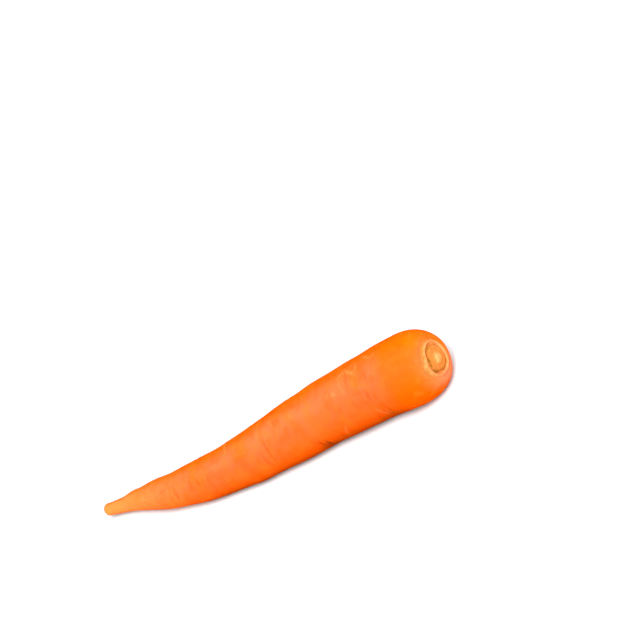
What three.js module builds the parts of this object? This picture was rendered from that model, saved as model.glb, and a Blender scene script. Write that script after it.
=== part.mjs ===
// A carrot: the washed root, trimmed of its leaves and lying on its side.
//
// Millimetres, +Z up. The root runs along X, its tip towards -X and its crown, where the leaves
// grew, towards +X. The origin is on the surface it lies on, under the middle of its bounding box.
//
// The root grew as one piece and is one body. A lathe turns its outline. Each point of the lathe
// is then moved: out or in for the lumps and creases of the skin and for the scar of the leaves,
// sideways for the bow of the root, up for the curl of its tip, and onto the surface.
//
// Two coordinates run over the skin: "along", the distance from the tip, and "around", the angle
// round the root from its top towards -Y.

import * as THREE from "three";

const { degToRad, lerp, smoothstep } = THREE.MathUtils;
const TURN = 2 * Math.PI;

// ---- Driving dimensions ----

const LENGTH = 218; // tip to crown
const TAIL_LENGTH = 3; // the tip rounds off over this length

// Distance from the tip and radius there, up to the thickest place, at the shoulders.
const GIRTH = [
  [6, 3],
  [20, 4.3],
  [40, 7.5],
  [66, 9.8],
  [100, 12.25],
  [140, 14.75],
  [172, 16.1],
  [200, 17],
];
const CROWN_SQUARENESS = 2.5; // 2 would round the shoulders as an ellipse

const BOW = 10.5; // how far the middle of the root bulges, towards -Y
const BOW_SKEW = 0.73; // 1 puts the bulge at mid-length, less moves it towards the tip
const BOW_GATHER = 2.45; // more keeps both ends straighter
const TIP_LIFT = 3.7; // how far the tip curls up
const LIFT_SHARE = 0.55; // share of the length that curls
const FLAT_DEPTH = 0.45; // how deep the underside is pressed flat where the weight rests
const CROWN_LEAN = { side: degToRad(-6.6), up: degToRad(7) }; // the scar faces a little -Y, up
const LEAN_LENGTH = 40; // length of root over which the crown leans
const SLOPE_STEP = 0.5; // how far apart two points are taken to find the centre line's direction

// The scar of the leaves: rings and mounds round the middle of the crown, in a shallow dish.
const SCAR = {
  edge: 10.5, // radius where the skin of the shoulders ends
  sunk: 1.5, // depth of the dish
  rim: 12.5, // radius where the dish starts
  moat: { radius: 9.6, width: 1.2, height: -0.3 },
  collar: { radius: 7.9, width: 0.9, height: 0.6 },
  groove: { radius: 6.9, width: 0.55, height: -0.8 },
  inner: { radius: 4.2, width: 0.7, height: -0.22 },
  pith: { radius: 0, width: 1.8, height: 0.5 },
};
// Waves round the scar. The first put its rings out of round, as a share of their radius. The
// others deepen and fade the groove, as a share of its depth.
const RING_WAVES = [
  { share: 0.035, waves: 2, start: 2.2 },
  { share: 0.025, waves: 3, start: 0.9 },
];
const GROOVE_WAVES = [
  { share: 0.3, waves: 3, start: 0.6 },
  { share: 0.3, waves: 7, start: 0 },
];

// Soft lumps, with their heights where the root is thickest. Sides make it a little oval and
// three-sided, turning once over a wave's length. Waves run along it, and twist round it.
const SIDES = [
  { height: 0.25, sides: 2, wave: 560, start: 1.1 },
  { height: 0.18, sides: 3, wave: -300, start: 2.3 },
];
const WAVES = [
  { height: 0.22, wave: 59, twist: 1.6, start: 0.75 },
  { height: 0.15, wave: 30, twist: 2.2, start: 3.2 },
];
const LUMPS_FADE_FROM = degToRad(115); // from the top round to where the lumps start to fade

// The creases that stand out: distance from the tip, degrees round the root to the middle of the
// crease and from there to its ends, and depth.
const MAIN_CREASES = [
  [38, -128, 40, 0.35],
  [61.5, 62, 24, 0.4],
  [77.5, 46, 15, 0.28],
  [85.3, 74, 17, 0.28],
  [96, -95, 42, 0.4],
  [122.3, 62, 55, 0.42],
  [138, -52, 34, 0.35],
  [150, 112, 26, 0.55],
  [163, -140, 38, 0.45],
  [184.8, 62, 18, 0.35],
  [189, 98, 24, 0.4],
];
const MAIN_WIDTH = 1.4; // half of a crease's width along the root

// Faint creases: rows from near the tip to the shoulders, each with a few at places of their own.
const FAINT_ROWS = 24;
const FAINT_PER_ROW = 3;
const FAINT_REGION = [14, 197];
const FAINT_SHIFT = 0.35; // share of the gap between rows that a row may move
const FAINT_SPAN = [degToRad(10), degToRad(38)];
const FAINT_DEPTH = [0.08, 0.26];
const FAINT_WIDTH = [0.9, 1.3];
const THIN_ROOT = 8; // radius under which creases grow shallower with the girth

const SEGMENTS = 44; // round the root
const RING_GAP = 0.55; // closest that two rings of the lathe come on the body
const TIP_RINGS = [0.25, 0.9, 1.8, 3, 6, 9]; // distances from the tip
const SHOULDER_RINGS = 10;
const SCAR_RINGS = [9.7, 8.9, 8.3, 7.9, 7.4, 6.9, 6.4, 5.4, 4.2, 3, 1.6]; // radii

const SKIN = { color: 0xf47b20, roughness: 0.45, metalness: 0 };

// ---- Outline ----

const [BODY_LENGTH, SHOULDER_RADIUS] = GIRTH.at(-1);
const CROWN_DEPTH = LENGTH - BODY_LENGTH;

const girthCurve = new THREE.CubicInterpolant(
  GIRTH.map(([along]) => along),
  GIRTH.map(([, radius]) => radius),
  1
);

// Radius of the root at a distance from the tip, leaving out how the tip and crown round off.
const girth = (along) => girthCurve.evaluate(along)[0];

// Radius with the rounded tip.
function bodyRadius(along) {
  const share = Math.min(along / TAIL_LENGTH, 1);
  return girth(along) * Math.sqrt(share * (2 - share));
}

// Distance from the tip at which the rounded crown has a given radius.
function crownAt(radius) {
  const share = (radius / SHOULDER_RADIUS) ** CROWN_SQUARENESS;
  return BODY_LENGTH + CROWN_DEPTH * (1 - share) ** (1 / CROWN_SQUARENESS);
}

// ---- Creases ----

// Numbers between 0 and 1 that spread evenly but look irregular: each step gives its own series.
const STEPS = { along: 0.618034, around: 0.754878, span: 0.56984, depth: 0.819173 };
const pick = (index, step) => (index * step) % 1;

function mainRows() {
  return MAIN_CREASES.map(([along, around, span, depth]) => ({
    along,
    width: MAIN_WIDTH,
    creases: [{ around: degToRad(around), span: degToRad(span), depth }],
  }));
}

function faintRows() {
  const rows = [];
  const gap = (FAINT_REGION[1] - FAINT_REGION[0]) / (FAINT_ROWS - 1);
  for (let row = 0; row < FAINT_ROWS; row++) {
    const shift = (2 * pick(row + 1, STEPS.along) - 1) * FAINT_SHIFT * gap;
    const creases = [];
    for (let k = 0; k < FAINT_PER_ROW; k++) {
      const index = row * FAINT_PER_ROW + k + 1;
      creases.push({
        around: TURN * pick(index, STEPS.around),
        span: lerp(...FAINT_SPAN, pick(index, STEPS.span)),
        depth: lerp(...FAINT_DEPTH, pick(index, STEPS.depth)),
      });
    }
    const width = lerp(...FAINT_WIDTH, pick(row + 1, STEPS.span));
    rows.push({ along: FAINT_REGION[0] + row * gap + shift, width, creases });
  }
  return rows;
}

const ROWS = [...mainRows(), ...faintRows()];

// Signed angle from one direction round the root to another, the short way.
const turnBetween = (from, to) => Math.atan2(Math.sin(to - from), Math.cos(to - from));

// Depth of the creases at a point of the skin.
function creaseDepth(along, around, radius) {
  let depth = 0;
  for (const row of ROWS) {
    const off = Math.abs(along - row.along) / row.width;
    if (off >= 1) continue;
    for (const crease of row.creases) {
      const reach = Math.abs(turnBetween(crease.around, around)) / crease.span;
      depth += crease.depth * Math.cos((off * Math.PI) / 2) ** 2 * smoothstep(1 - reach, 0, 1);
    }
  }
  return depth * Math.min(radius / THIN_ROOT, 1);
}

// ---- Lumps ----

// Height of the soft lumps, which make the root a little out of round. They fade underneath, where
// the root lies.
function lumpHeight(along, around, radius) {
  let height = 0;
  for (const { height: most, sides, wave, start } of SIDES) {
    height += most * Math.cos(sides * around + start + (TURN * along) / wave);
  }
  for (const { height: most, wave, twist, start } of WAVES) {
    height += most * Math.sin((TURN * along) / wave + twist * Math.sin(around + start));
  }
  const underneath = smoothstep(Math.abs(around), LUMPS_FADE_FROM, Math.PI);
  return (height * (1 - underneath) * radius) / SHOULDER_RADIUS;
}

// ---- Scar ----

// Height of one ring or mound of the scar.
const ridge = ({ radius, width, height }, at) => height * Math.exp(-(((at - radius) / width) ** 2));

// A factor that goes up and down round the scar.
function ripple(list, around) {
  return list.reduce((sum, { share, waves, start }) => sum + share * Math.sin(waves * around + start), 1);
}

// Height of the scar over the smoothly rounded crown.
function scarHeight(around, radius) {
  const at = radius * ripple(RING_WAVES, around);
  const dish = SCAR.sunk * (1 - smoothstep(radius, SCAR.collar.radius, SCAR.rim));
  return (
    ridge(SCAR.moat, at) +
    ridge(SCAR.collar, at) +
    ridge(SCAR.groove, at) * ripple(GROOVE_WAVES, around) +
    ridge(SCAR.inner, at) +
    ridge(SCAR.pith, at) -
    dish
  );
}

// ---- The lathe ----

// Distances from the tip of the rings along the body: each row of creases has a ring in its floor
// and one along either edge.
function bodyRings() {
  const rings = [...TIP_RINGS, BODY_LENGTH];
  for (const { along, width } of ROWS) rings.push(along - width, along, along + width);
  rings.sort((a, b) => a - b);
  return rings.filter((along, k) => k === 0 || along - rings[k - 1] > RING_GAP);
}

// The profile from the tip to the middle of the crown, as (radius, along).
function profile() {
  const points = [new THREE.Vector2(0, 0)];
  for (const along of bodyRings()) points.push(new THREE.Vector2(bodyRadius(along), along));
  const crownRadii = [];
  for (let ring = 1; ring <= SHOULDER_RINGS; ring++) {
    crownRadii.push(lerp(SHOULDER_RADIUS, SCAR.edge, (ring / SHOULDER_RINGS) ** 2));
  }
  for (const radius of [...crownRadii, ...SCAR_RINGS]) {
    points.push(new THREE.Vector2(radius, crownAt(radius)));
  }
  points.push(new THREE.Vector2(0, LENGTH));
  return points;
}

// ---- How the root lies ----

// Sideways place of the centre line.
const sideways = (along) => -BOW * Math.sin(Math.PI * (along / LENGTH) ** BOW_SKEW) ** BOW_GATHER;

// Direction of the centre line seen from above, as an angle from X.
function lineAngle(along) {
  const before = Math.max(along - SLOPE_STEP, 0);
  const after = Math.min(along + SLOPE_STEP, LENGTH);
  return Math.atan2(sideways(after) - sideways(before), after - before);
}

// Height of the centre line: the underside follows the surface, and the tip curls up from it.
function lineHeight(along) {
  const curl = Math.max(0, 1 - along / (LENGTH * LIFT_SHARE)) ** 2;
  return girth(along) - FLAT_DEPTH + TIP_LIFT * curl;
}

// Moves one point of the straight, round lathe to its place on the root.
function place(point) {
  const along = point.x;
  const radius = Math.hypot(point.y, point.z);
  const around = Math.atan2(-point.y, point.z);
  const onCrown = smoothstep(along, BODY_LENGTH, crownAt(SCAR.edge));
  const skin = lumpHeight(along, around, radius) - creaseDepth(along, around, radius);
  const out = radius + skin * (1 - onCrown);
  const side = -out * Math.sin(around);
  const up = out * Math.cos(around);
  const lean = smoothstep(along, LENGTH - LEAN_LENGTH, LENGTH);
  const leanBack = side * Math.tan(CROWN_LEAN.side) + up * Math.tan(CROWN_LEAN.up);
  const angle = lineAngle(along);
  point.set(
    along + onCrown * scarHeight(around, radius) - lean * leanBack - side * Math.sin(angle),
    sideways(along) + side * Math.cos(angle),
    Math.max(0, up + lineHeight(along))
  );
}

// ---- The root ----

function rootGeometry() {
  const geometry = new THREE.LatheGeometry(profile(), SEGMENTS);
  geometry.rotateZ(-Math.PI / 2);
  const { position } = geometry.attributes;
  const point = new THREE.Vector3();
  for (let k = 0; k < position.count; k++) {
    point.fromBufferAttribute(position, k);
    place(point);
    position.setXYZ(k, point.x, point.y, point.z);
  }
  geometry.computeBoundingBox();
  const middle = geometry.boundingBox.getCenter(new THREE.Vector3());
  geometry.translate(-middle.x, -middle.y, 0);
  geometry.computeVertexNormals();
  return geometry;
}

const root = new THREE.Mesh(rootGeometry(), new THREE.MeshStandardMaterial(SKIN));
root.name = "carrot";

const carrot = new THREE.Group();
carrot.add(root);

export default carrot;
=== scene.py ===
"""A carrot lying on a pale floor, seen from above its crown end.

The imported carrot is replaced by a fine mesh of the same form. Its outline, bow, lumps, creases and
scar follow the same named values, and it adds the small marks of the skin: strokes, dents, broad
swellings, a lip along each crease and the knobs inside the scar.

The root's own sizes are in millimetres. Two coordinates run over the skin: "along", the distance
from the tip, and "around", the angle round the root from its top towards -Y.
"""

import math

import bpy
import numpy as np
from mathutils import Matrix, Vector


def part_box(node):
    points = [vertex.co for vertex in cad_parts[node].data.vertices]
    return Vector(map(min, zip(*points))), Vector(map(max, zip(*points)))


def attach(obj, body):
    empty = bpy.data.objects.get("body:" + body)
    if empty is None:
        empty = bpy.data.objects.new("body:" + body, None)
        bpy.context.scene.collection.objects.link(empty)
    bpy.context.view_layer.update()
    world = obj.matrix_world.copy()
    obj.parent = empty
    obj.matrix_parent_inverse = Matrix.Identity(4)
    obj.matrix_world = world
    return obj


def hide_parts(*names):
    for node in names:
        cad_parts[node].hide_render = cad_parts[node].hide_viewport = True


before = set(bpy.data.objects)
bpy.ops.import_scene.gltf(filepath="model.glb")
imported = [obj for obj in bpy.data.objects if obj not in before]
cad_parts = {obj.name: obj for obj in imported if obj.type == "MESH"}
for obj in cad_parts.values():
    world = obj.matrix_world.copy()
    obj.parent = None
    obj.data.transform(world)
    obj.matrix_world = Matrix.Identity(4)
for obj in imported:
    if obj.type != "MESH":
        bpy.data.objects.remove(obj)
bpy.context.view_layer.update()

MM = 0.001
TURN = 2 * math.pi

# ---- The root, in millimetres ----

LENGTH = 218
TAIL_LENGTH = 3
# Distance from the tip, radius.
GIRTH = [(6, 3), (20, 4.3), (40, 7.5), (66, 9.8), (100, 12.25), (140, 14.75), (172, 16.1), (200, 17)]
CROWN_SQUARENESS = 2.5
BOW, BOW_SKEW, BOW_GATHER = 10.5, 0.73, 2.45
TIP_LIFT, LIFT_SHARE = 3.7, 0.55
FLAT_DEPTH = 0.45
LEAN_SIDE, LEAN_UP = math.radians(-6.6), math.radians(7)
LEAN_LENGTH = 40
SLOPE_STEP = 0.5  # either way along the root, to find its direction

SCAR_EDGE, SCAR_SUNK, SCAR_RIM = 10.5, 1.5, 12.5
COLLAR_RADIUS = 7.9
# Radius, width and height of the rings and mounds of the scar.
MOAT, COLLAR = (9.6, 1.2, -0.3), (COLLAR_RADIUS, 0.9, 0.6)
GROOVE = (6.9, 0.55, -0.8)
INNER, PITH = (4.2, 0.7, -0.22), (0, 1.8, 0.5)
# Share, number of waves and start of each ripple round the scar.
RING_WAVES = [(0.035, 2, 2.2), (0.025, 3, 0.9)]
GROOVE_WAVES = [(0.3, 3, 0.6), (0.3, 7, 0)]
# The groove is pinched in on one side: share, degrees round the root to the middle and from there to
# where it has mostly gone. It fades out towards the radius PINCH_END.
PINCH, PINCH_END = (0.28, 52, 34), 9.5
DARK_SIDE, BLUSH_SIDE = math.radians(45), math.radians(165)  # round the scar to the tone's middle
# The knobs and pits inside the groove.
KNOBS = 46
KNOB_SIZE = (0.6, 1.3)
KNOB_HEIGHT = (-0.16, 0.12)

# The long low lumps: height, number of sides, wavelength and start; then height, wavelength, twist
# and start.
SIDES = [(0.25, 2, 560, 1.1), (0.18, 3, -300, 2.3)]
WAVES = [(0.22, 59, 1.6, 0.75), (0.15, 30, 2.2, 3.2)]
LUMPS_FADE_FROM = math.radians(115)

# Distance from the tip, degrees round the root to the middle and from there to the ends, depth.
MAIN_CREASES = [
    (38, -128, 40, 0.35),
    (61.5, 62, 24, 0.4),
    (77.5, 46, 15, 0.28),
    (85.3, 74, 17, 0.28),
    (96, -95, 42, 0.4),
    (122.3, 62, 55, 0.42),
    (138, -52, 34, 0.35),
    (150, 112, 26, 0.55),
    (163, -140, 38, 0.45),
    (184.8, 62, 18, 0.35),
    (189, 98, 24, 0.4),
]
MAIN_WIDTH = 1.4
FULL_CREASE = 0.35  # depth from which a crease has all of its colour
FAINT_ROWS, FAINT_PER_ROW = 24, 3
FAINT_REGION, FAINT_SHIFT = (14, 197), 0.35
FAINT_SPAN = (math.radians(10), math.radians(38))
FAINT_DEPTH, FAINT_WIDTH = (0.08, 0.26), (0.9, 1.3)
# Steps of the rows of numbers that spread the faint creases.
STEP_ALONG, STEP_AROUND, STEP_SPAN, STEP_DEPTH = 0.618034, 0.754878, 0.56984, 0.819173
THIN_ROOT = 8  # radius below which creases get shallower

BODY_LENGTH, SHOULDER_RADIUS = GIRTH[-1]
CROWN_DEPTH = LENGTH - BODY_LENGTH

# ---- The small marks, in millimetres ----

SEED = 5
# Strokes of paler and of darker skin: distance from the tip and degrees round the root of both ends,
# half width, strength.
PALE_STROKES = [
    ((33, 45), (39.5, 52), 0.88, 0.32),
    ((34, 77), (37, 64), 0.88, 0.28),
    ((62.6, 66), (62, 84), 0.62, 0.21),
    ((93.8, 68), (94.6, 80), 0.56, 0.21),
    ((120.5, -12), (120, 36), 0.88, 0.21),
    ((127.5, 4), (130.5, 24), 0.75, 0.28),
    ((142, 8), (141.5, 27), 1.12, 0.21),
    ((162, 105), (164.6, 88), 0.62, 0.32),
    ((167.9, 28), (168.3, 32), 0.8, 0.4),
    ((171.5, 8), (176, -3), 0.75, 0.39),
    ((172, 12), (173.3, 37), 0.62, 0.24),
    ((176, -2), (182, 18), 0.88, 0.52),
    ((178, 3), (181, -8), 0.62, 0.28),
    ((182.3, -2), (182.7, 13), 0.62, 0.42),
    ((184.3, 83), (185, 96), 0.75, 0.28),
    ((185, 96), (188.2, 107), 0.62, 0.28),
    ((186.5, -11), (192, 4), 0.75, 0.35),
    ((192, 4), (194.6, -6), 0.62, 0.32),
]
DARK_STROKES = [
    ((35, 67), (37.4, 60), 0.6, 0.35),
    ((38.5, -14), (41.5, -4), 0.6, 0.4),
    ((47.2, 44), (46.5, 84), 0.8, 0.3),
    ((50.4, 41), (52.6, 33), 0.7, 0.5),
    ((60.8, 44), (61.4, 82), 0.6, 0.45),
    ((77, 45), (78.9, 56), 0.9, 0.5),
    ((84, 93), (86.5, 84), 0.5, 0.4),
    ((86.5, 84), (93, 70), 0.5, 0.3),
    ((93, 70), (95.6, 87), 0.5, 0.35),
    ((118, 68), (121.4, 92), 0.6, 0.3),
    ((139.6, 50), (140.6, 64), 0.6, 0.25),
    # These two strokes mark a real fissure; their width and darkness where it reaches the low edge are
    # painted shade.
    ((145.8, 90), (149.4, 112), 1.1, 0.6),
    ((148.2, 108), (152.6, 136), 2.8, 0.8),
    ((166.4, 63), (168.2, 52), 0.9, 0.35),
    ((175.4, -12), (177, -6), 0.6, 0.4),
    ((178, 46), (184, 50), 0.6, 0.3),
    ((184, 50), (185, 66), 0.6, 0.35),
    ((179.4, 66), (184.8, 64), 0.7, 0.35),
    ((186.8, 88), (188, 110), 0.6, 0.55),
]
# The strokes above are on the side round this angle. The rest of the skin has strokes by chance.
LISTED_SIDE = math.radians(50)
LISTED_HALF = math.radians(80)
CHANCE_STROKES = 46
CHANCE_FROM = 16  # distance from the tip
CHANCE_LENGTH = (3.0, 11.0)
CHANCE_TURN = math.radians(24)  # most slant away from straight across the root
CHANCE_WIDTH = (0.45, 0.9)
CHANCE_STRENGTH = (0.25, 0.6)
# Broad swellings and hollows: distance from the tip, degrees round the root, size, height.
SWELLS = [
    (22, -42, 6, 1.0),
    (7, 50, 7, 0.45),
    (50, 118, 9, 0.25),
    (107, 118, 8, 0.45),
    (187, 118, 6, -0.5),
    (204, 118, 6, 0.4),
    (54, -42, 8, -0.48),
    (89, -42, 8, -0.5),
    (122, -42, 9, -0.5),
    (144, -42, 6, -0.45),
    (181, -42, 7, -0.6),
]
STROKE_BENDS = 5
STROKE_WANDER = 0.45
STROKE_TAPER = (0.55, 1)  # width and strength at the ends and in the middle
STROKE_MARGIN = 5  # how far along the root a stroke may show past its ends
STROKE_RELIEF = 0.14  # height of a pale stroke, depth of a dark one
DENTS = 90
DENTS_FROM = 30  # distance from the tip
DENT_REACH = 3  # how far from its middle a dent shows, in sizes of the dent
DENT_SIZE = (3.5, 9.0)
DENT_HEIGHT = (-0.1, 0.07)
# The lip beside a crease: its height as a share of the crease's depth, and where it lies and how wide
# it is, both in half widths of the crease.
LIP_HEIGHT, LIP_OFF, LIP_WIDTH = 0.16, 1.25, 0.45

UPPER_SIDE = math.radians(34)  # round the root to the middle of its most lit side, which gets the painted sheen

TIP_RINGS, BODY_RINGS, SHOULDER_RINGS, SCAR_RINGS = 16, 410, 30, 44
INNERMOST = 0.2  # radius of the last ring of the scar
SEGMENTS = 196

# ---- Camera ----

CAMERA_BEARING = math.radians(50.7)  # from +X towards -Y
CAMERA_HEIGHT = math.radians(33.1)
CAMERA_ROLL = math.radians(48.2)  # how far the picture is turned, anticlockwise
CAMERA_DISTANCE = 0.9
CAMERA_TARGET = Vector((0.0169, 0.0782, 0.0))
CAMERA_LENS = 100.9
SENSOR = 36

# ---- Light ----

KEY_FROM = Vector((0.42, -0.48, 0.765))  # direction
KEY_ENERGY = 9.0
KEY_ANGLE = math.radians(38)
WALL_TOP, WALL_FADE = math.radians(12), math.radians(25)
WALL_STRENGTH, ROOM_STRENGTH = 0.5, 0.15


def pick(index, step):
    """The index-th of a row of numbers from 0 to 1 that spread out evenly."""
    return (index * step) % 1


def lerp(ends, share):
    """The value a share of the way from the first end to the second."""
    return ends[0] + (ends[1] - ends[0]) * share


def smoothstep(x, start, end):
    """0 before start and 1 after end, eased between."""
    share = np.clip((x - start) / (end - start), 0, 1)
    return share * share * (3 - 2 * share)


def girth(along):
    """Radius at a distance from the tip, by a cubic curve through GIRTH."""
    at, radius = np.array(GIRTH, float).T
    slope = np.diff(radius) / np.diff(at)
    slope = np.r_[slope[0], (slope[1:] + slope[:-1]) / 2, slope[-1]]
    along = np.clip(along, at[0], at[-1])
    k = np.clip(np.searchsorted(at, along, "right") - 1, 0, len(at) - 2)
    step = at[k + 1] - at[k]
    s = (along - at[k]) / step
    start = radius[k] * (2 * s**3 - 3 * s**2 + 1) + step * slope[k] * (s**3 - 2 * s**2 + s)
    end = radius[k + 1] * (3 * s**2 - 2 * s**3) + step * slope[k + 1] * (s**3 - s**2)
    return start + end


def body_radius(along):
    """Radius of the body, rounded off over the tail."""
    share = np.minimum(along / TAIL_LENGTH, 1)
    return girth(along) * np.sqrt(share * (2 - share))


def crown_at(radius):
    """Distance from the tip at which the rounded crown has a given radius."""
    share = (radius / SHOULDER_RADIUS) ** CROWN_SQUARENESS
    return BODY_LENGTH + CROWN_DEPTH * (1 - share) ** (1 / CROWN_SQUARENESS)


def turn_between(start, end):
    """The angle from start to end, the short way round."""
    return np.arctan2(np.sin(end - start), np.cos(end - start))


def crease_rows():
    """(along, half width, [(around, half span, depth)]) for each row of creases, in radians."""
    rows = [
        (along, MAIN_WIDTH, [(math.radians(around), math.radians(span), depth)])
        for along, around, span, depth in MAIN_CREASES
    ]
    gap = (FAINT_REGION[1] - FAINT_REGION[0]) / (FAINT_ROWS - 1)
    for row in range(FAINT_ROWS):
        shift = (2 * pick(row + 1, STEP_ALONG) - 1) * FAINT_SHIFT * gap
        creases = []
        for k in range(FAINT_PER_ROW):
            index = row * FAINT_PER_ROW + k + 1
            around = TURN * pick(index, STEP_AROUND)
            span = lerp(FAINT_SPAN, pick(index, STEP_SPAN))
            creases.append((around, span, lerp(FAINT_DEPTH, pick(index, STEP_DEPTH))))
        width = lerp(FAINT_WIDTH, pick(row + 1, STEP_SPAN))
        rows.append((FAINT_REGION[0] + row * gap + shift, width, creases))
    return rows


def crease_relief(along, around, radius):
    """Depth of the creases, and the height of the lip along them."""
    depth = np.zeros_like(along)
    lip = np.zeros_like(along)
    for row_along, width, creases in crease_rows():
        off = np.abs(along - row_along) / width
        floor = np.where(off < 1, np.cos(np.minimum(off, 1) * math.pi / 2) ** 2, 0)
        beside = np.exp(-(((off - LIP_OFF) / LIP_WIDTH) ** 2))
        for crease_around, span, most in creases:
            reach = 1 - np.abs(turn_between(crease_around, around)) / span
            there = most * smoothstep(reach, 0, 1)
            depth += there * floor
            lip += there * beside * LIP_HEIGHT
    thin = np.minimum(radius / THIN_ROOT, 1)
    return depth * thin, lip * thin


def lump_height(along, around, radius):
    """Height of the long low lumps, which fade out underneath."""
    height = np.zeros_like(along)
    for most, sides, wave, start in SIDES:
        height += most * np.cos(sides * around + start + TURN * along / wave)
    for most, wave, twist, start in WAVES:
        height += most * np.sin(TURN * along / wave + twist * np.sin(around + start))
    underneath = smoothstep(np.abs(around), LUMPS_FADE_FROM, math.pi)
    return height * (1 - underneath) * radius / SHOULDER_RADIUS


def segment_mark(along, around, radius, start, end, width):
    """1 on the line between two points of the skin, fading to 0 over a width."""
    ahead, across = end[0] - start[0], (end[1] - start[1]) * radius
    u, v = along - start[0], turn_between(start[1], around) * radius
    share = np.clip((u * ahead + v * across) / (ahead**2 + across**2), 0, 1)
    return np.exp(-((u - share * ahead) ** 2 + (v - share * across) ** 2) / width**2)


def paint_stroke(mark, rng, along, around, radius, stroke):
    """Lay one wandering, tapered stroke into mark."""
    (first, first_around), (last, last_around), width, strength = stroke
    share = np.linspace(0, 1, STROKE_BENDS)
    wander = rng.normal(0, STROKE_WANDER, (2, STROKE_BENDS)) * np.sin(math.pi * share)
    row = np.abs(along[:, 0] - (first + last) / 2) < abs(last - first) / 2 + STROKE_MARGIN
    part = [grid[row] for grid in (along, around, radius)]
    path_along = lerp((first, last), share) + wander[0]
    path_around = np.radians(lerp((first_around, last_around), share)) + wander[1] / part[2].mean()
    for k in range(STROKE_BENDS - 1):
        taper = lerp(STROKE_TAPER, math.sin(math.pi * (k + 0.5) / (STROKE_BENDS - 1)))
        start, end = (path_along[k], path_around[k]), (path_along[k + 1], path_around[k + 1])
        drawn = strength * taper * segment_mark(*part, start, end, width * taper)
        mark[row] = np.maximum(mark[row], drawn)


def chance_strokes(rng):
    """Strokes for the side that has no listed ones, in the form of the lists."""
    strokes = []
    for _ in range(CHANCE_STROKES):
        at = rng.uniform(CHANCE_FROM, BODY_LENGTH)
        side = LISTED_SIDE + math.pi + rng.uniform(-1, 1) * (math.pi - LISTED_HALF)
        length, slant = rng.uniform(*CHANCE_LENGTH), rng.uniform(-CHANCE_TURN, CHANCE_TURN)
        reach = math.degrees(length * math.cos(slant) / float(girth(at)))
        ahead = length * math.sin(slant)
        width, strength = rng.uniform(*CHANCE_WIDTH), rng.uniform(*CHANCE_STRENGTH)
        around = math.degrees(side)
        strokes.append(((at, around), (at + ahead, around + reach), width, strength))
    return strokes


def strokes(rng, along, around, radius):
    """How pale and how dark the strokes leave the skin."""
    pale, dark = np.zeros_like(along), np.zeros_like(along)
    chance = chance_strokes(rng)
    for stroke in PALE_STROKES + chance[::2]:
        paint_stroke(pale, rng, along, around, radius, stroke)
    for stroke in DARK_STROKES + chance[1::2]:
        paint_stroke(dark, rng, along, around, radius, stroke)
    return pale, dark


def dents(rng, along, around, radius):
    """Height of the listed swellings and hollows and of the small dents strewn by chance."""
    chance = [
        (
            rng.uniform(DENTS_FROM, BODY_LENGTH),
            rng.uniform(-180, 180),
            rng.uniform(*DENT_SIZE),
            rng.uniform(*DENT_HEIGHT),
        )
        for _ in range(DENTS)
    ]
    height = np.zeros_like(along)
    for at, side, size, most in SWELLS + chance:
        near = np.abs(along[:, 0] - at) < DENT_REACH * size
        across = turn_between(math.radians(side), around[near]) * radius[near]
        height[near] += most * np.exp(-(across**2 + (along[near] - at) ** 2) / size**2)
    return height


def ripple(waves, around):
    """A factor near 1 that wavers round the scar."""
    return 1 + sum(share * np.sin(count * around + start) for share, count, start in waves)


def ridge(ring, at):
    """Height of a ring or mound at a distance from the middle of the scar."""
    radius, width, height = ring
    return height * np.exp(-(((at - radius) / width) ** 2))


def scar_distance(around, radius):
    """Distance from the middle of the scar, as if its rings were round."""
    share, middle, half = PINCH
    pinch = share * np.exp(-((turn_between(math.radians(middle), around) / math.radians(half)) ** 2))
    inside = np.clip((PINCH_END - radius) / (PINCH_END - GROOVE[0] / (1 + share)), 0, 1)
    return radius * ripple(RING_WAVES, around) * (1 + pinch * inside)


def knobs(rng, around, radius):
    """Height of the small knobs and pits inside the scar's groove."""
    y, z = radius * np.sin(around), radius * np.cos(around)
    height = np.zeros_like(radius)
    for _ in range(KNOBS):
        distance, side = GROOVE[0] * math.sqrt(rng.uniform()), rng.uniform(-math.pi, math.pi)
        size, most = rng.uniform(*KNOB_SIZE), rng.uniform(*KNOB_HEIGHT)
        off = (y - distance * math.sin(side)) ** 2 + (z - distance * math.cos(side)) ** 2
        height += most * np.exp(-off / size**2)
    return height


def scar_height(around, radius):
    """Height of the scar above the rounded crown."""
    at = scar_distance(around, radius)
    height = ridge(MOAT, at) + ridge(COLLAR, at) + ridge(INNER, at) + ridge(PITH, at)
    height += ridge(GROOVE, at) * ripple(GROOVE_WAVES, around)
    return height - SCAR_SUNK * (1 - smoothstep(radius, COLLAR_RADIUS, SCAR_RIM))


def sideways(along):
    """How far the bow takes the root's middle line across."""
    return -BOW * np.sin(math.pi * (along / LENGTH) ** BOW_SKEW) ** BOW_GATHER


def line_angle(along):
    """Direction of the middle line, seen from above."""
    before = np.maximum(along - SLOPE_STEP, 0)
    after = np.minimum(along + SLOPE_STEP, LENGTH)
    return np.arctan2(sideways(after) - sideways(before), after - before)


def line_height(along):
    """Height of the middle line above the floor."""
    curl = np.maximum(0, 1 - along / (LENGTH * LIFT_SHARE)) ** 2
    return girth(along) - FLAT_DEPTH + TIP_LIFT * curl


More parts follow.
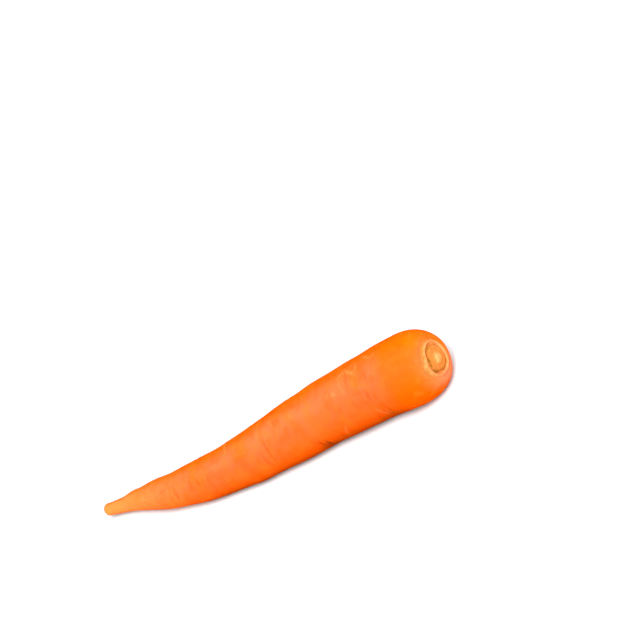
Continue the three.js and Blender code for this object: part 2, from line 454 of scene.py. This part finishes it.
def root_grid():
    """along, around and radius of each point of the straight root, a row of points per ring."""
    tip = TAIL_LENGTH * np.linspace(0, 1, TIP_RINGS)[1:-1] ** 2
    body = np.r_[tip, np.linspace(TAIL_LENGTH, BODY_LENGTH, BODY_RINGS)]
    outer = SHOULDER_RADIUS + (SCAR_EDGE - SHOULDER_RADIUS) * np.linspace(0, 1, SHOULDER_RINGS)[1:] ** 2
    crown = np.r_[outer, np.linspace(SCAR_EDGE, INNERMOST, SCAR_RINGS)[1:]]
    along = np.r_[body, crown_at(crown)]
    radius = np.r_[body_radius(body), crown]
    around = np.linspace(-math.pi, math.pi, SEGMENTS, endpoint=False)
    shape = (len(along), SEGMENTS)
    return (
        np.broadcast_to(along[:, None], shape).copy(),
        np.broadcast_to(around, shape).copy(),
        np.broadcast_to(radius[:, None], shape).copy(),
    )


def place(along, around, out, scar):
    """Where points of the straight root lie on the real one."""
    side, up = -out * np.sin(around), out * np.cos(around)
    lean = smoothstep(along, LENGTH - LEAN_LENGTH, LENGTH)
    angle = line_angle(along)
    x = along + scar - lean * (side * math.tan(LEAN_SIDE) + up * math.tan(LEAN_UP)) - side * np.sin(angle)
    y = sideways(along) + side * np.cos(angle)
    z = np.maximum(0, up + line_height(along))
    return np.stack([x, y, z], -1)


def fitted_to(points, plain, low, high):
    """Points in millimetres, moved as it takes to lay the plain ones in a box given in metres."""
    least, most = plain.reshape(-1, 3).min(0), plain.reshape(-1, 3).max(0)
    return np.array(low) + (points - least) / (most - least) * (np.array(high) - np.array(low))


def tube_faces(rings, segments):
    """Quads between neighbouring rings, and a fan of triangles to a point at either end."""
    first = np.arange(rings * segments).reshape(rings, segments)
    after = np.roll(first, -1, axis=1)
    quads = np.stack([first[:-1], first[1:], after[1:], after[:-1]], -1).reshape(-1, 4)
    tip, crown = rings * segments, rings * segments + 1
    faces = quads.tolist()
    faces += [(tip, a, b) for a, b in zip(first[0], after[0])]
    faces += [(crown, b, a) for a, b in zip(first[-1], after[-1])]
    return faces


def root_points(rng, along, around, radius, creases, marks):
    """Every point of the fine root, one more at either end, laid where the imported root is."""
    on_crown = smoothstep(along, BODY_LENGTH, crown_at(SCAR_EDGE))
    plain = radius + (lump_height(along, around, radius) - creases) * (1 - on_crown)
    out = plain + (marks + dents(rng, along, around, radius)) * (1 - on_crown)
    scar = on_crown * (scar_height(around, radius) + knobs(rng, around, radius))
    points = place(along, around, out, scar)
    ends = [points[0].mean(0), points[-1].mean(0)]
    points = np.r_[points.reshape(-1, 3), ends]
    return fitted_to(points, place(along, around, plain, scar), *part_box("carrot"))


def with_ends(grid):
    """The values of a grid in one row, and those of the two points at the ends."""
    return np.r_[grid.ravel(), grid[0].mean(), grid[-1].mean()]


def add_float(mesh, name, grid):
    attribute = mesh.attributes.new(name, "FLOAT", "POINT")
    attribute.data.foreach_set("value", with_ends(grid).astype(np.float32))


def add_places(mesh, along, around, radius):
    """Tell the material where each point lies on the straight root and from the scar."""
    on_end = along > BODY_LENGTH
    from_scar = np.where(on_end, radius, SHOULDER_RADIUS) + np.maximum(0, BODY_LENGTH - along)
    add_float(mesh, "from_scar", from_scar)
    add_float(mesh, "ring", np.where(on_end, scar_distance(around, radius), from_scar))
    add_float(mesh, "groove_side", on_end * np.cos(around - DARK_SIDE))
    add_float(mesh, "blush_side", np.cos(around - BLUSH_SIDE))
    add_float(mesh, "upper", np.cos(around - UPPER_SIDE))
    add_float(mesh, "lower", np.sin(around - UPPER_SIDE))
    straight = [with_ends(v) for v in (along, -radius * np.sin(around), radius * np.cos(around))]
    vector = mesh.attributes.new("straight", "FLOAT_VECTOR", "POINT")
    vector.data.foreach_set("vector", np.stack(straight, -1).astype(np.float32).ravel())


def make_root():
    rng = np.random.default_rng(SEED)
    along, around, radius = root_grid()
    creases, lips = crease_relief(along, around, radius)
    pale, dark = strokes(rng, along, around, radius)
    marks = lips + STROKE_RELIEF * (pale - dark)
    points = root_points(rng, along, around, radius, creases, marks)

    mesh = bpy.data.meshes.new("carrot_skin")
    mesh.from_pydata(points, [], tube_faces(*along.shape))
    mesh.update()
    mesh.shade_smooth()
    add_places(mesh, along, around, radius)
    add_float(mesh, "crease", np.clip(creases / FULL_CREASE, 0, 1))
    add_float(mesh, "pale", pale)
    add_float(mesh, "dark", dark)

    root = bpy.data.objects.new("carrot_root", mesh)
    bpy.context.scene.collection.objects.link(root)
    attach(root, "root")
    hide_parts("carrot")
    return root


# ---- Colours ----


def linear(red, green, blue):
    """A colour given as it looks on a screen, 0 to 255, as linear light, by the sRGB curve."""
    return tuple(
        (c / 255 / 12.92) if c < 11 else ((c / 255 + 0.055) / 1.055) ** 2.4 for c in (red, green, blue)
    ) + (1.0,)


ORANGE = linear(216, 78, 4)
# laid only on the lit side, as a painted sheen over salmon blotches
SALMON_SHEEN = linear(220, 90, 49)
AMBER = linear(220, 92, 10)
# painted shade for the low side, towards the floor
LOW_SIDE_SHADE = linear(140, 43, 0)
RUSSET = linear(210, 70, 6)
FLANK = linear(218, 87, 6)
PALER = linear(224, 100, 26)
SHOULDER = linear(215, 76, 0)
CROWN = linear(222, 88, 2)
BLUSH = linear(224, 102, 64)
TIP = linear(222, 110, 50)
CREASE = linear(112, 58, 10)
# a real fissure's dark tone, deepened as painted shade on the low side
SHADED_FISSURE = linear(104, 34, 6)
PALE = linear(234, 134, 74)
# painted shade in the moat outside the collar
MOAT_SHADE = linear(146, 100, 46)
COLLAR_TONE = linear(234, 126, 74)
GROOVE_TONE = linear(122, 75, 17)
FLESH = linear(206, 112, 52)
CORE = linear(178, 102, 44)
PITH_TONE = linear(230, 140, 84)

# ---- Materials ----

# A Mix node has sockets for each kind of value. These are its share and its two colours, and its result.
MIX_INPUTS, MIX_RESULT = (0, 6, 7), 2


class Tree:
    """A short way to build a material's nodes."""

    def __init__(self, name):
        self.material = bpy.data.materials.new(name)
        self.material.use_nodes = True
        self.tree = self.material.node_tree
        self.shader = self.tree.nodes["Principled BSDF"]

    def node(self, kind, inputs=None, **settings):
        made = self.tree.nodes.new("ShaderNode" + kind)
        for name, value in settings.items():
            setattr(made, name, value)
        for name, value in (inputs or {}).items():
            self.put(made.inputs[name], value)
        return made

    def put(self, socket, value):
        if isinstance(value, bpy.types.NodeSocket):
            self.tree.links.new(value, socket)
        else:
            socket.default_value = value

    def shade(self, values):
        """Set sockets of the shader by name."""
        for name, value in values.items():
            self.put(self.shader.inputs[name], value)

    def attribute(self, name, output="Fac"):
        return self.node("Attribute", attribute_name=name).outputs[output]

    def math(self, operation, *values):
        made = self.node("Math", operation=operation)
        for k, value in enumerate(values):
            self.put(made.inputs[k], value)
        return made.outputs[0]

    def times(self, product, *others):
        for other in others:
            product = self.math("MULTIPLY", product, other)
        return product

    def distance(self, value, middle):
        return self.math("ABSOLUTE", self.math("SUBTRACT", value, middle))

    def ease(self, value, start, end, low=0.0, high=1.0):
        """value from start to end, eased to run from low to high."""
        inputs = {"Value": value, "From Min": start, "From Max": end, "To Min": low, "To Max": high}
        return self.node("MapRange", inputs, interpolation_type="SMOOTHSTEP").outputs[0]

    def vector(self, operation, *values):
        made = self.node("VectorMath", operation=operation)
        for k, value in enumerate(values):
            self.put(made.inputs[k], value)
        return made.outputs[0]

    def noise(self, vector, scale, detail, roughness, distortion=0.0):
        inputs = {"Scale": scale, "Detail": detail, "Roughness": roughness, "Distortion": distortion}
        return self.node("TexNoise", {"Vector": vector, **inputs}).outputs[0]

    def stretched(self, vector, scale):
        return self.node("Mapping", {"Vector": vector, "Scale": scale}).outputs[0]

    def shifted(self, value, vector, noise, width):
        """value moved to and fro by a noise, by up to half a width."""
        shift = self.math("MULTIPLY_ADD", self.noise(vector, *noise), width, -width / 2)
        return self.math("ADD", value, shift)

    def mix(self, share, first, second):
        """The first colour where the share is 0 and the second where it is 1."""
        made = self.node("Mix", data_type="RGBA")
        for k, value in zip(MIX_INPUTS, (share, first, second)):
            self.put(made.inputs[k], value)
        return made.outputs[MIX_RESULT]

    def ramp(self, value, stops):
        made = self.node("ValToRGB", {"Fac": value})
        elements = made.color_ramp.elements
        while len(elements) < len(stops):
            elements.new(1.0)
        for element, (at, colour) in zip(elements, stops):
            element.position = at
            element.color = colour
        return made.outputs[0]


# In the values below, a noise is its scale per millimetre, detail, roughness and, for some, distortion.
# A pair of numbers says where a tone is nil and where it is full. Two more say what it runs from and to
# instead. The pairs named "sides" are "turned": radians round the root from the middle of its most lit
# side, where the painted sheen is, rising down the side towards -Y. Those named "reach" are millimetres
# over the skin from the middle of the scar, or from the tip where they say "along". Those named "line"
# are millimetres from the middle of a line, and those named "round" are cosines of the angle from the
# tone's own side.

# Where the painted sheen lies round the root.
SHEEN_TOP_SIDES, SHEEN_LOW_SIDES = (-0.85, -0.2), (1.35, 0.05)
CLOUDS, CLOUD_RANGE = (0.07, 4.0, 0.6, 0.6), (0.25, 0.55, 0.3, 1.0)
PATCHES, PATCH_STRETCH, PATCH_RANGE = (1.0, 2.0, 0.5, 0.4), (0.11, 0.07, 0.07), (0.45, 0.75, 0.0, 0.5)
BANDS, BAND_STRETCH, BAND_RANGE = (1.0, 3.0, 0.55), (0.3, 0.05, 0.05), (0.5, 0.75, 0.0, 0.3)


def body_tone(tree, straight, painted_sheen):
    """Orange with salmon clouds kept to the lit side as a painted sheen, amber patches, and bands across
    the root.
    """
    clouds = tree.ease(tree.noise(straight, *CLOUDS), *CLOUD_RANGE)
    colour = tree.mix(tree.times(clouds, painted_sheen), ORANGE, SALMON_SHEEN)
    patches = tree.noise(tree.stretched(straight, PATCH_STRETCH), *PATCHES)
    colour = tree.mix(tree.ease(patches, *PATCH_RANGE), colour, AMBER)
    bands = tree.noise(tree.stretched(straight, BAND_STRETCH), *BANDS)
    return tree.mix(tree.ease(bands, *BAND_RANGE), colour, ORANGE)


SHOULDER_REACH, SHOULDER_UNDER_SHEEN = (29.0, 15.0), (0.0, 1.0, 1.0, 0.75)
CROWN_SIDES = (0.3, -0.7)
TIP_ALONG_REACH = (84.0, 6.0)


def with_ends_toned(tree, colour, from_scar, along, turned, painted_sheen):
    """The colour with its cleaner orange near the crown and its pale tip."""
    near_scar = tree.times(tree.ease(from_scar, *SHOULDER_REACH), tree.ease(painted_sheen, *SHOULDER_UNDER_SHEEN))
    shoulder = tree.mix(tree.ease(turned, *CROWN_SIDES), SHOULDER, CROWN)
    colour = tree.mix(near_scar, colour, shoulder)
    return tree.mix(tree.ease(along, *TIP_ALONG_REACH), colour, TIP)


OFF_SCAR_REACH = (13.0, 29.0)
BACK_SIDES, BACK_END_SIDES = (-0.4, -1.1, 0.0, 0.85), (-3.1, -2.4)
MOTTLE = (0.18, 2.0, 0.5)
BLOTCH_RANGE, BLOTCH_ALONG_REACH = (0.5, 0.7, 0.0, 0.35), (20.0, 60.0)
PALER_RANGE = (0.5, 0.3, 0.0, 0.3)
# Where the painted shade of the low side lies, and where it fades out.
FRONT_SIDES, LOW_SIDES, LOW_END_SIDES = (-0.15, 0.35, 0.0, 0.25), (0.95, 1.75, 0.0, 0.6), (3.1, 2.3)
LOW_ALONG_REACH = (50.0, 90.0)


def with_sides_toned(tree, colour, from_scar, along, turned, mottle):
    """The colour with an even back, a mottle of darker and paler blotches, and painted shade on the low
    side.
    """
    off_scar = tree.ease(from_scar, *OFF_SCAR_REACH)
    back = tree.times(tree.ease(turned, *BACK_SIDES), tree.ease(turned, *BACK_END_SIDES), off_scar)
    colour = tree.mix(back, colour, FLANK)
    blotches = tree.times(tree.ease(mottle, *BLOTCH_RANGE), tree.ease(along, *BLOTCH_ALONG_REACH))
    colour = tree.mix(blotches, colour, RUSSET)
    colour = tree.mix(tree.ease(mottle, *PALER_RANGE), colour, PALER)
    # Painted shade over the low side, fading towards the tip, the scar and the bottom.
    low = tree.math("ADD", tree.ease(turned, *FRONT_SIDES), tree.ease(turned, *LOW_SIDES))
    off_tip = tree.times(tree.ease(turned, *LOW_END_SIDES), tree.ease(along, *LOW_ALONG_REACH))
    return tree.mix(tree.times(low, off_tip, off_scar), colour, LOW_SIDE_SHADE)


CREASE_SHARE, PALE_SHARE = 0.34, 0.8
BREAKS, BREAK_RANGE = (1.1, 3.0, 0.6), (0.3, 0.6, 0.45, 1.0)
SHADED_FISSURE_SIDES = (0.5, 1.0)


def with_marks(tree, colour, straight, turned):
    """The colour with the creases and the broken strokes on it, the dark strokes painted darker towards
    the low side as shade.
    """
    colour = tree.mix(tree.times(tree.attribute("crease"), CREASE_SHARE), colour, CREASE)
    broken = tree.ease(tree.noise(straight, *BREAKS), *BREAK_RANGE)
    # Towards the low side the dark strokes take a darker tone, as painted shade.
    dark_tone = tree.mix(tree.ease(turned, *SHADED_FISSURE_SIDES), CREASE, SHADED_FISSURE)
    colour = tree.mix(tree.times(tree.attribute("dark"), broken), colour, dark_tone)
    return tree.mix(tree.times(tree.attribute("pale"), broken, PALE_SHARE), colour, PALE)


BLUSH_REACH, BLUSH_ROUND = (15.5, 9.5), (0.0, 0.9, 0.1, 1.0)
MOAT_SHADE_REACH, MOAT_SHADE_ROUND = (13.6, 9.2), (-0.2, 0.8, 0.0, 0.85)


def with_scar_edge(tree, colour, ring):
    """The colour with the pink blush, and painted shade in the moat outside the collar on one side."""
    blush_round = tree.ease(tree.attribute("blush_side"), *BLUSH_ROUND)
    colour = tree.mix(tree.times(tree.ease(ring, *BLUSH_REACH), blush_round), colour, BLUSH)
    # Painted shade in the moat outside the collar, on the groove's dark side.
    moat_shade_round = tree.ease(tree.attribute("groove_side"), *MOAT_SHADE_ROUND)
    return tree.mix(tree.times(tree.ease(ring, *MOAT_SHADE_REACH), moat_shade_round), colour, MOAT_SHADE)


SCAR_TONES_REACH = 12.0
# Share of that reach, colour.
SCAR_TONES = [
    (0.0, PITH_TONE),
    (0.11, PITH_TONE),
    (0.24, FLESH),
    (0.34, CORE),
    (0.42, FLESH),
    (0.5, CORE),
    (0.6, COLLAR_TONE),
    (0.72, COLLAR_TONE),
    (0.82, BLUSH),
]
RAYS, RAY_RANGE = (5.0, 3.0, 0.6), (0.4, 0.7, 0.0, 0.4)
SPECKS, SPECK_RANGE = (0.9, 3.0, 0.6), (0.52, 0.7)
SPECK_INNER_REACH, SPECK_OUTER_REACH = (2.0, 5.0, 0.0, 0.8), (7.6, 6.4)
ARC_RADIUS, ARC_LINE, ARC_ROUND = 5.6, (1.6, 0.4), (0.2, 0.9, 0.0, 0.5)


def scar_tone(tree, straight, ring):
    """Rings of pith, flesh and collar, with rays, brown specks and one darker arc."""
    colour = tree.ramp(tree.math("DIVIDE", ring, SCAR_TONES_REACH), SCAR_TONES)
    outward = tree.vector("NORMALIZE", tree.vector("MULTIPLY", straight, (0, 1, 1)))
    colour = tree.mix(tree.ease(tree.noise(outward, *RAYS), *RAY_RANGE), colour, CORE)
    specks = tree.ease(tree.noise(straight, *SPECKS), *SPECK_RANGE)
    specked = tree.times(tree.ease(ring, *SPECK_INNER_REACH), tree.ease(ring, *SPECK_OUTER_REACH))
    colour = tree.mix(tree.times(specks, specked), colour, GROOVE_TONE)
    arc = tree.ease(tree.distance(ring, ARC_RADIUS), *ARC_LINE)
    arc_round = tree.ease(tree.attribute("blush_side"), *ARC_ROUND)
    return tree.mix(tree.times(arc, arc_round), colour, GROOVE_TONE)


JAGS, JAG_WIDTH = (0.9, 2.0, 0.6), 2.2
GROOVE_LINE, GROOVE_ROUND = (1.5, 0.5), (-0.6, 0.75, 0.15, 1.0)
GROOVE_BREAKS, GROOVE_BREAK_RANGE = (0.5, 3.0, 0.6), (0.35, 0.6, 0.7, 1.0)


def groove_share(tree, straight):
    """How much of the groove's brown there is: a jagged, broken ring, darkest on one side."""
    jagged = tree.shifted(tree.attribute("ring"), straight, JAGS, JAG_WIDTH)
    groove = tree.ease(tree.distance(jagged, GROOVE[0]), *GROOVE_LINE)
    dark_side = tree.ease(tree.attribute("groove_side"), *GROOVE_ROUND)
    broken = tree.ease(tree.noise(straight, *GROOVE_BREAKS), *GROOVE_BREAK_RANGE)
    return tree.times(groove, dark_side, broken)


RAGS, RAG_WIDTH = (0.55, 4.0, 0.6), 3.0
SCAR_REACH = (9.2, 7.9)


def with_scar(tree, colour, straight):
    """The colour with the scar on it."""
    ring = tree.shifted(tree.attribute("ring"), straight, RAGS, RAG_WIDTH)
    colour = with_scar_edge(tree, colour, ring)
    colour = tree.mix(tree.ease(ring, *SCAR_REACH), colour, scar_tone(tree, straight, ring))
    return tree.mix(groove_share(tree, straight), colour, GROOVE_TONE)


WRINKLES, WRINKLE_STRETCH, WRINKLE_HEIGHT = (1.0, 3.0, 0.5), (0.5, 0.16, 0.16), 0.09
GRAIN, GRAIN_HEIGHT = (2.2, 3.0, 0.6), 0.012


def skin_bump(tree, straight):
    """Fine wrinkles across the root and a grain, as a change of the normal."""
    wrinkles = tree.times(tree.noise(tree.stretched(straight, WRINKLE_STRETCH), *WRINKLES), WRINKLE_HEIGHT)
    grain = tree.times(tree.noise(straight, *GRAIN), GRAIN_HEIGHT)
    height = tree.math("ADD", wrinkles, grain)
    return tree.node("Bump", {"Height": height, "Strength": 1.0, "Distance": MM}).outputs[0]


ROUGHNESS_RANGE = (0.3, 0.7, 0.45, 0.6)
SKIN_SHADER = {
    "Specular IOR Level": 0.0,
    "Subsurface Weight": 0.3,
    "Subsurface Radius": (1.0, 0.25, 0.05),
    "Subsurface Scale": 3 * MM,
    "IOR": 1.4,
}


def skin_material():
    """The skin and the scar, coloured by what the mesh holds at each point."""
    tree = Tree("carrot_skin")
    straight = tree.attribute("straight", "Vector")
    along = tree.node("SeparateXYZ", {"Vector": straight}).outputs[0]
    from_scar = tree.attribute("from_scar")
    turned = tree.math("ARCTAN2", tree.attribute("lower"), tree.attribute("upper"))
    # A share of painted sheen: full round the middle of the lit side, nil on the far side and low down.
    painted_sheen = tree.times(tree.ease(turned, *SHEEN_TOP_SIDES), tree.ease(turned, *SHEEN_LOW_SIDES))
    mottle = tree.noise(straight, *MOTTLE)

    colour = body_tone(tree, straight, painted_sheen)
    colour = with_ends_toned(tree, colour, from_scar, along, turned, painted_sheen)
    colour = with_sides_toned(tree, colour, from_scar, along, turned, mottle)
    colour = with_marks(tree, colour, straight, turned)
    colour = with_scar(tree, colour, straight)
    roughness = tree.ease(mottle, *ROUGHNESS_RANGE)
    tree.shade({"Base Color": colour, "Roughness": roughness, "Normal": skin_bump(tree, straight)})
    tree.shade(SKIN_SHADER)
    return tree.material


FLOOR_SHADER = {"Base Color": (0.53, 0.53, 0.53, 1), "Roughness": 0.85}


def floor_material():
    tree = Tree("floor")
    tree.shade(FLOOR_SHADER)
    return tree.material


# ---- Stage ----

FLOOR_HALF = 15  # metres


def make_floor():
    mesh = bpy.data.meshes.new("floor")
    corners = [(x * FLOOR_HALF, y * FLOOR_HALF, 0) for x, y in ((-1, -1), (1, -1), (1, 1), (-1, 1))]
    mesh.from_pydata(corners, [], [(0, 1, 2, 3)])
    floor = bpy.data.objects.new("floor", mesh)
    bpy.context.scene.collection.objects.link(floor)
    mesh.materials.append(floor_material())


def make_lights():
    """A wide soft light high on the camera's side, and a dim room with a bright wall all round."""
    world = bpy.data.worlds.new("studio")
    bpy.context.scene.world = world
    world.use_nodes = True
    tree = world.node_tree
    direction = tree.nodes.new("ShaderNodeTexCoord").outputs["Generated"]
    split = tree.nodes.new("ShaderNodeSeparateXYZ")
    tree.links.new(direction, split.inputs[0])
    wall = tree.nodes.new("ShaderNodeMapRange")
    wall.interpolation_type = "SMOOTHSTEP"
    tree.links.new(split.outputs[2], wall.inputs["Value"])
    wall.inputs["From Min"].default_value = math.sin(WALL_TOP)
    wall.inputs["From Max"].default_value = math.sin(WALL_TOP + WALL_FADE)
    wall.inputs["To Min"].default_value = WALL_STRENGTH
    wall.inputs["To Max"].default_value = ROOM_STRENGTH
    background = tree.nodes["Background"]
    background.inputs["Color"].default_value = (1, 1, 1, 1)
    tree.links.new(wall.outputs[0], background.inputs["Strength"])

    key = bpy.data.lights.new("key", "SUN")
    key.energy = KEY_ENERGY
    key.angle = KEY_ANGLE
    lamp = bpy.data.objects.new("key", key)
    bpy.context.scene.collection.objects.link(lamp)
    lamp.location = KEY_FROM
    lamp.rotation_euler = KEY_FROM.to_track_quat("Z", "Y").to_euler()


def make_camera():
    level = math.cos(CAMERA_HEIGHT)
    back = Vector(
        (level * math.cos(CAMERA_BEARING), -level * math.sin(CAMERA_BEARING), math.sin(CAMERA_HEIGHT))
    )
    right = (-back).cross(Vector((0, 0, 1))).normalized()
    up = right.cross(-back)
    picture_right = right * math.cos(CAMERA_ROLL) - up * math.sin(CAMERA_ROLL)
    picture_up = right * math.sin(CAMERA_ROLL) + up * math.cos(CAMERA_ROLL)
    camera = bpy.data.objects.new("camera", bpy.data.cameras.new("camera"))
    bpy.context.scene.collection.objects.link(camera)
    camera.data.sensor_width = SENSOR
    camera.data.lens = CAMERA_LENS
    turned = Matrix((picture_right, picture_up, back)).transposed().to_4x4()
    camera.matrix_world = Matrix.Translation(CAMERA_TARGET + back * CAMERA_DISTANCE) @ turned
    bpy.context.scene.camera = camera


root = make_root()
root.data.materials.append(skin_material())
make_floor()
make_lights()
make_camera()
bpy.context.scene.view_settings.view_transform = "Standard"
